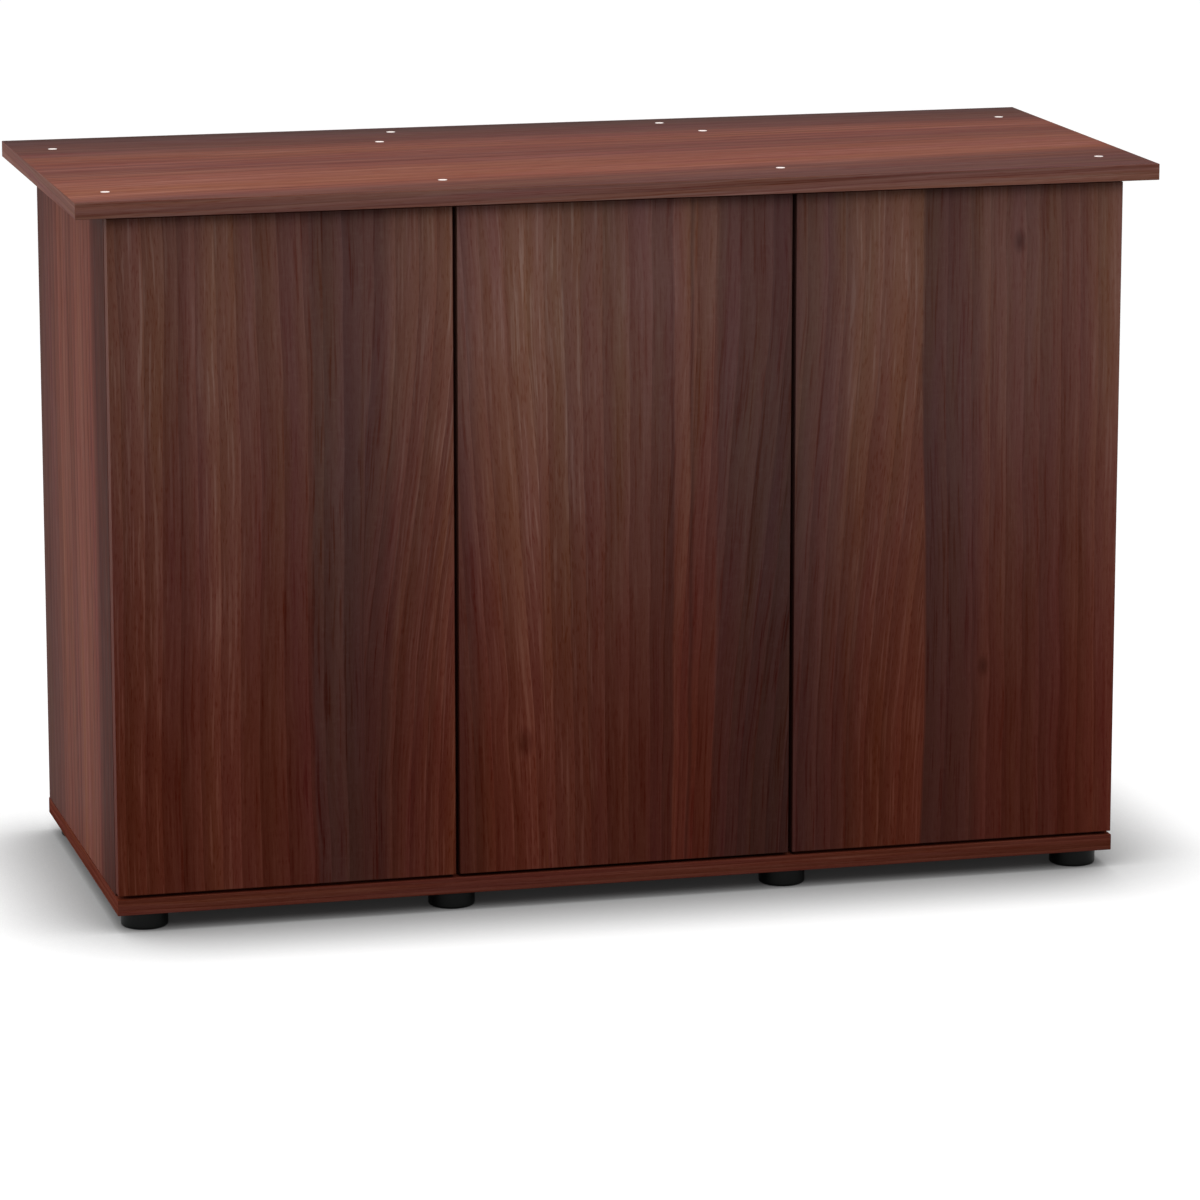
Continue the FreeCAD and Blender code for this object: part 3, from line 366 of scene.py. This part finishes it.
    # Streaks are more tan than what lies between them
    hue = addNode(tree, "ShaderNodeMath", (grain["hue"], walnut["hueMiddle"]), operation="SUBTRACT")
    hue = addNode(tree, "ShaderNodeMath", (streaks, walnut["streakHue"], hue), operation="MULTIPLY_ADD")
    shade = (1, 1, 1)
    for layer, tint in ((fine, walnut["fineTint"]), (hue, walnut["hueTint"])):
        shade = addNode(tree, "ShaderNodeVectorMath", (layer, tint, shade), operation="MULTIPLY_ADD")
    colour = addNode(tree, "ShaderNodeVectorMath", (colour.outputs["Result"], shade), operation="MULTIPLY")
    gloss = addNode(tree, "ShaderNodeMapRange", (grain["fibre"], *walnut["fibreSpan"], *walnut["roughness"]))
    bump = addNode(tree, "ShaderNodeBump", {
        "Height": grain["fibre"], "Strength": walnut["reliefStrength"], "Distance": walnut["relief"] * mm,
    })
    shader = addNode(tree, "ShaderNodeBsdfPrincipled", {
        "Base Color": colour, "Roughness": gloss, "Normal": bump,
        "Specular IOR Level": facts.get("specular", walnut["specular"]),
    })
    addNode(tree, "ShaderNodeOutputMaterial", {"Surface": shader})
    return material


for board, facts in boards.items():
    dress(board, walnutBoard(board, facts))
print("boards dressed:", len(boards))

# How the noise of an even surface shows in its colour, roughness and relief
mottling = {"detail": 3.0, "roughness": 0.6, "colour": (0.3, 0.7), "gloss": (0.25, 0.75), "strength": 0.3,
            "relief": 0.02}


def mottled(name, base, spot, grain, roughness, spread, metallic=0.0, specular=0.5):
    # Even surface with fine mottling, its grain in millimetres
    material = blankMaterial(name)
    tree = material.node_tree
    coord = addNode(tree, "ShaderNodeTexCoord")
    noise = addNode(tree, "ShaderNodeTexNoise", {
        "Vector": coord.outputs["Object"], "Scale": 1 / (grain * mm), "Detail": mottling["detail"],
        "Roughness": mottling["roughness"],
    }).outputs["Fac"]
    colour = addNode(tree, "ShaderNodeValToRGB", [noise],
                     stops=list(zip(mottling["colour"], (linear(base), linear(spot)))))
    gloss = addNode(tree, "ShaderNodeMapRange",
                    (noise, *mottling["gloss"], roughness - spread, roughness + spread))
    bump = addNode(tree, "ShaderNodeBump", {
        "Height": noise, "Strength": mottling["strength"], "Distance": mottling["relief"] * mm,
    })
    shader = addNode(tree, "ShaderNodeBsdfPrincipled", {
        "Base Color": colour, "Metallic": metallic, "Specular IOR Level": specular, "Roughness": gloss,
        "Normal": bump,
    })
    addNode(tree, "ShaderNodeOutputMaterial", {"Surface": shader})
    return material


def ending(*tails):
    return [n for n in nodes if n.endswith(tails)]


finishes = {
    # Moulded polypropylene: near black, with a faint spark-eroded grain that dulls its gloss
    "moulded_black_polypropylene": (
        dict(base="#070807", spot="#0d0f0e", grain=0.9, roughness=0.38, spread=0.06, specular=0.15),
        ending("_foot")),
    # Bright zinc plating on steel: pale and slightly clouded
    "zinc_plated_steel": (
        dict(base="#f2e6e1", spot="#fff8f5", grain=1.2, roughness=0.5, spread=0.08, metallic=1.0),
        ending("_screws")),
    # Nickel plating on pressed steel: warmer and glossier than zinc
    "nickel_plated_steel": (
        dict(base="#bcb7ae", spot="#cbc6bd", grain=2.0, roughness=0.28, spread=0.05, metallic=1.0),
        ending("_hinge_cups", "_cup_pins", "_outer_links", "_inner_links", "_hinge_arms", "_arm_pins",
               "_hinge_plates", "_strike_plate")),
    # Moulded acetal: even grey with a waxy sheen
    "moulded_grey_acetal": (
        dict(base="#8b8e90", spot="#989b9d", grain=0.9, roughness=0.45, spread=0.05),
        ending("_housings", "_sockets", "_plunger")),
    # Turned beech: pale pinkish brown with fine flecks
    "turned_beech": (
        dict(base="#c9a479", spot="#d8b78d", grain=1.5, roughness=0.6, spread=0.05),
        ["dowels"]),
}
finishOf = {}
for name, (facts, members) in finishes.items():
    material = mottled(name, **facts)
    for member in members:
        dress(member, material)
        finishOf[member] = material
print("fittings dressed:", len(finishOf))

bodyOf = {node: body for body, members in frame["record"]["behaviour"]["bodies"].items() for node in members}
modelling = {"merge": 0.001, "smooth": math.radians(35), "flat": math.radians(0.5), "sharp": math.radians(40),
             "corners": 32, "easeSteps": 2}


def pick(*pieces):
    # Only these pieces are selected, the first one active
    bpy.ops.object.select_all(action="DESELECT")
    for piece in pieces:
        piece.select_set(True)
    bpy.context.view_layer.objects.active = pieces[0]


def editAll(piece):
    pick(piece)
    bpy.ops.object.mode_set(mode="EDIT")
    bpy.ops.mesh.select_all(action="SELECT")


def settle(piece, node):
    # The piece takes the node's place, finish and motion
    pick(piece)
    piece.name = node + "_detailed"
    piece.data.materials.clear()
    piece.data.materials.append(finishOf[node])
    bpy.ops.object.shade_smooth_by_angle(angle=modelling["smooth"])
    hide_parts(node)
    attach(piece, bodyOf[node])


def mergedCopy(node):
    # Copy of a node's mesh with its loose triangles merged
    piece = bpy.data.objects.new(node + "_copy", nodes[node].data.copy())
    bpy.context.scene.collection.objects.link(piece)
    pick(piece)
    bpy.ops.mesh.customdata_custom_splitnormals_clear()
    editAll(piece)
    bpy.ops.mesh.remove_doubles(threshold=modelling["merge"] * mm)
    bpy.ops.object.mode_set(mode="OBJECT")
    return piece


def findSeats(node, axis, faces):
    # Outer end, direction and length of each solid in a node. A screw faces the way of its widest ring
    editAll(mergedCopy(node))
    bpy.ops.mesh.separate(type="LOOSE")
    bpy.ops.object.mode_set(mode="OBJECT")
    seats = []
    for solid in list(bpy.context.selected_objects):
        spots = [corner.co.copy() for corner in solid.data.vertices]
        low, high = (Vector([end(spot[i] for spot in spots) for i in range(3)]) for end in (min, max))
        middle, length = (low + high) / 2, (high - low).dot(axis)
        steps = [spot - middle for spot in spots]
        widest = max(steps, key=lambda step: (step - step.dot(axis) * axis).length)
        way = axis * (faces or math.copysign(1, widest.dot(axis)))
        seats.append({"end": middle + way * length / 2, "way": way, "length": length / mm})
        bpy.data.objects.remove(solid)
    return sorted(seats, key=lambda seat: tuple(round(c, 5) for c in seat["end"]))


def turnPiece(rings):
    # Turned piece on the z axis, drawn out ring by ring from its lower end: height and radius in millimetres
    height, radius = rings[0]
    bpy.ops.object.select_all(action="DESELECT")
    bpy.ops.mesh.primitive_circle_add(vertices=modelling["corners"], radius=radius * mm, fill_type="NGON")
    piece = bpy.context.object
    editAll(piece)
    bpy.ops.transform.translate(value=(0, 0, height * mm))
    for nextHeight, nextRadius in rings[1:]:
        bpy.ops.mesh.extrude_region_move(
            TRANSFORM_OT_translate={"value": (0, 0, (nextHeight - height) * mm)})
        bpy.ops.transform.resize(value=(nextRadius / radius, nextRadius / radius, 1))
        height, radius = nextHeight, nextRadius
    bpy.ops.mesh.select_all(action="SELECT")
    bpy.ops.mesh.normals_make_consistent(inside=False)
    bpy.ops.object.mode_set(mode="OBJECT")
    return piece


def cutCross(piece, reach, top, depth):
    # Cross recess: two tapered blades cut out of the head
    thickness, taper = 0.24 * reach, (0.5, 0.7, 1)
    for turn in (0, math.pi / 2):
        bpy.ops.object.select_all(action="DESELECT")
        bpy.ops.mesh.primitive_cube_add(size=1)
        blade = bpy.context.object
        editAll(blade)
        bpy.ops.transform.resize(value=(reach * mm, thickness * mm, 2 * depth * mm))
        bpy.ops.mesh.select_all(action="DESELECT")
        bpy.ops.object.mode_set(mode="OBJECT")
        for corner in blade.data.vertices:
            corner.select = corner.co.z < 0
        bpy.ops.object.mode_set(mode="EDIT")
        bpy.ops.transform.resize(value=taper)
        bpy.ops.object.mode_set(mode="OBJECT")
        blade.location.z = top * mm
        blade.rotation_euler.z = turn
        cut = piece.modifiers.new("recess", "BOOLEAN")
        cut.object = blade
        cut.solver = "EXACT"
        pick(piece)
        bpy.ops.object.modifier_apply(modifier=cut.name)
        bpy.data.objects.remove(blade)


# Shapes of turned fittings from the inner end out, with their outer end at height 0
def shankRings(shank, length, neck):
    return [(-length, 0.2 * shank), (2 * shank - length, 0.5 * shank), (-neck, 0.5 * shank)]


def panHead(length, head, height, shank):
    # Flat below, domed on top
    return shankRings(shank, length, height) + [
        (-height, 0.5 * head), (-0.5 * height, 0.5 * head), (-0.15 * height, 0.43 * head), (0, 0.3 * head)]


def flatHead(length, head, height, shank, rim):
    # Countersunk under a thin rim
    return shankRings(shank, length, height) + [(-rim, 0.49 * head), (0, 0.49 * head)]


def plungerTip(length, radius, edge, collar, groove, width, slope, magnet, sunk):
    # Plain rod with a groove behind its collar and a magnet set in the tip
    behind = collar + width
    return [(-length, 0.8 * radius), (-length + edge, radius), (-behind - slope, radius), (-behind, groove),
            (-collar, groove), (-collar + slope, radius), (-edge, radius), (-0.25 * edge, 0.92 * radius),
            (0, 0.78 * radius), (0, magnet), (-sunk, magnet)]


def strikeDisc(length, radius, sink, sunk):
    # Disc with a rolled edge, dished around a sunk screw
    return [(-length, radius), (-0.35 * length, radius), (-0.08 * length, 0.97 * radius), (0, 0.92 * radius),
            (0, 0.5 * sink), (-sunk, 0.44 * sink), (-sunk, 0.3 * sink)]


# Sizes in millimetres. Recess: reach of the cross, height of the face that it is cut in, depth
turnedFittings = [
    {"nodes": ["hinge_plate_screws"], "axis": "x", "shape": panHead,
     "sizes": dict(head=9, height=2, shank=5), "recess": (4.4, 0, 1.6)},
    {"nodes": ["hinge_arm_screws"], "axis": "x", "shape": panHead,
     "sizes": dict(head=8, height=2, shank=5), "recess": (4.2, 0, 1.6)},
    {"nodes": ["latch_screws"], "axis": "z", "shape": panHead,
     "sizes": dict(head=7, height=2, shank=3.5), "recess": (3.6, 0, 1.4)},
    {"nodes": ending("_cup_screws"), "axis": "y", "shape": panHead,
     "sizes": dict(head=6.5, height=0.6, shank=3.5), "recess": (3.4, 0, 1.2)},
    {"nodes": ["back_screws"], "axis": "y", "shape": flatHead,
     "sizes": dict(head=8, height=3, shank=4, rim=0.3), "recess": (4.4, 0, 1.8)},
    {"nodes": ending("_plunger"), "axis": "y", "faces": -1, "shape": plungerTip,
     "sizes": dict(radius=4, edge=0.8, collar=3, groove=3.44, width=1, slope=0.2, magnet=2.4, sunk=0.35)},
    {"nodes": ending("_strike_plate"), "axis": "y", "faces": 1, "shape": strikeDisc,
     "sizes": dict(radius=8, sink=7, sunk=0.3), "recess": (3.0, -0.3, 0.5)},
]
screwTurn = 0.7  # radians from one to the next, so that each screw stops at its own angle
for facts in turnedFittings:
    for node in facts["nodes"]:
        seats = findSeats(node, axes[facts["axis"]], facts.get("faces"))
        model = turnPiece(facts["shape"](seats[0]["length"], **facts["sizes"]))
        if "recess" in facts:
            cutCross(model, *facts["recess"])
        copies = []
        for number, seat in enumerate(seats):
            piece = model.copy()
            piece.data = model.data.copy()
            bpy.context.scene.collection.objects.link(piece)
            aim = seat["way"].to_track_quat("Z", "Y").to_matrix().to_4x4()
            turn = Matrix.Rotation(screwTurn * number, 4, "Z")
            piece.data.transform(Matrix.Translation(seat["end"]) @ aim @ turn)
            copies.append(piece)
        bpy.data.objects.remove(model)
        pick(*copies)
        if len(copies) > 1:
            bpy.ops.object.join()
        settle(copies[0], node)
print("screws, plungers and strike plates modelled")

# Moulded housings and pressed plates with eased edges, by width in millimetres
easedEdges = {"latch_housings": 0.8}
easedEdges.update((node, 0.4) for node in ending("_hinge_plates"))
for node, width in easedEdges.items():
    piece = mergedCopy(node)
    editAll(piece)
    bpy.ops.mesh.dissolve_limited(angle_limit=modelling["flat"])
    bpy.ops.object.mode_set(mode="OBJECT")
    ease = piece.modifiers.new("ease", "BEVEL")
    ease.width = width * mm
    ease.segments = modelling["easeSteps"]
    ease.limit_method = "ANGLE"
    ease.angle_limit = modelling["sharp"]
    bpy.ops.object.modifier_apply(modifier=ease.name)
    settle(piece, node)
print("fittings eased:", len(easedEdges))


def raySeen(tree):
    # 1 for rays that the eye sees, straight or in metal
    path = addNode(tree, "ShaderNodeLightPath").outputs
    seen = path["Is Camera Ray"]
    for kind in ("Is Glossy Ray", "Is Transmission Ray"):
        seen = addNode(tree, "ShaderNodeMath", (seen, path[kind]), operation="MAXIMUM")
    return seen


# Pale floor: matte, and white to the eye where nothing stands over it
floorFacts = {"size": 40.0, "bounce": 0.28, "glow": 0.8, "shadowReach": 0.16, "shadowDepth": 2.6,
              "shadowFloor": 0.014, "shadowSamples": 16}
bpy.ops.object.select_all(action="DESELECT")
bpy.ops.mesh.primitive_plane_add(size=floorFacts["size"], location=(0, 0, 0))
floor = bpy.context.object
floor.name = "studio_floor"
material = blankMaterial("pale_matte_floor")
tree = material.node_tree
shade = addNode(tree, "ShaderNodeAmbientOcclusion", {"Distance": floorFacts["shadowReach"]},
                samples=floorFacts["shadowSamples"]).outputs["AO"]
shade = addNode(tree, "ShaderNodeMath", (shade, floorFacts["shadowDepth"]), operation="POWER")
glow = addNode(tree, "ShaderNodeMath", (shade, floorFacts["glow"], floorFacts["shadowFloor"]),
               operation="MULTIPLY_ADD")
glow = addNode(tree, "ShaderNodeMath", (raySeen(tree), glow), operation="MULTIPLY")
light = addNode(tree, "ShaderNodeEmission", {"Color": (1, 1, 1, 1), "Strength": glow})
matte = addNode(tree, "ShaderNodeBsdfDiffuse", {"Color": [floorFacts["bounce"]] * 3 + [1]})
both = addNode(tree, "ShaderNodeAddShader", (light, matte))
addNode(tree, "ShaderNodeOutputMaterial", {"Surface": both})
floor.data.materials.append(material)

# Soft light from the whole sky, strongest overhead, and white to the eye
skyFacts = {"overhead": 0.9, "horizon": 0.15, "highest": 0.9, "seen": 1.0}
scene = bpy.context.scene
scene.world = bpy.data.worlds.new("studio_sky")
scene.world.use_nodes = True
tree = scene.world.node_tree
tree.nodes.clear()
coord = addNode(tree, "ShaderNodeTexCoord")
height = addNode(tree, "ShaderNodeSeparateXYZ", [coord.outputs["Generated"]]).outputs["Z"]
strength = addNode(tree, "ShaderNodeMapRange",
                   (height, 0, skyFacts["highest"], skyFacts["horizon"], skyFacts["overhead"]))
strength = addNode(tree, "ShaderNodeMix", {"Factor": raySeen(tree), "A": strength, "B": skyFacts["seen"]})
sky = addNode(tree, "ShaderNodeBackground", {"Color": (1, 1, 1, 1), "Strength": strength.outputs["Result"]})
addNode(tree, "ShaderNodeOutputWorld", {"Surface": sky})

lamps = {
    "overhead_box": {"place": (-0.2, 0.3, 3.2), "aim": (0, 0.05, 0.8), "size": 2.4, "power": 32},
    "front_box": {"place": (0.3, -2.7, 2.3), "aim": (0, -0.24, 0.75), "size": 1.4, "power": 22},
    "left_box": {"place": (-3.4, 0.2, 1.6), "aim": (-0.57, 0, 0.45), "size": 1.8, "power": 40},
}
for name, facts in lamps.items():
    bpy.ops.object.light_add(type="AREA", location=facts["place"])
    lamp = bpy.context.object
    lamp.name = name
    lamp.data.shape = "SQUARE"
    lamp.data.size = facts["size"]
    lamp.data.energy = facts["power"]
    aim = Vector(facts["aim"]) - Vector(facts["place"])
    lamp.rotation_euler = aim.to_track_quat("-Z", "Y").to_euler()
print("floor and light ready")

view = {
    "place": (-1.55576, -6.14156, 1.66538), "pitch": 0.2136, "turn": -0.2530,
    "focalPixels": 5685.26, "imagePixels": 1200, "sensor": 36.0,
}
bpy.ops.object.camera_add(location=view["place"])
camera = bpy.context.object
camera.rotation_euler = (math.pi / 2 - view["pitch"], 0, view["turn"])
camera.data.sensor_width = view["sensor"]
camera.data.lens = view["focalPixels"] / view["imagePixels"] * view["sensor"]
scene.camera = camera
scene.view_settings.view_transform = "Standard"
print("camera set")
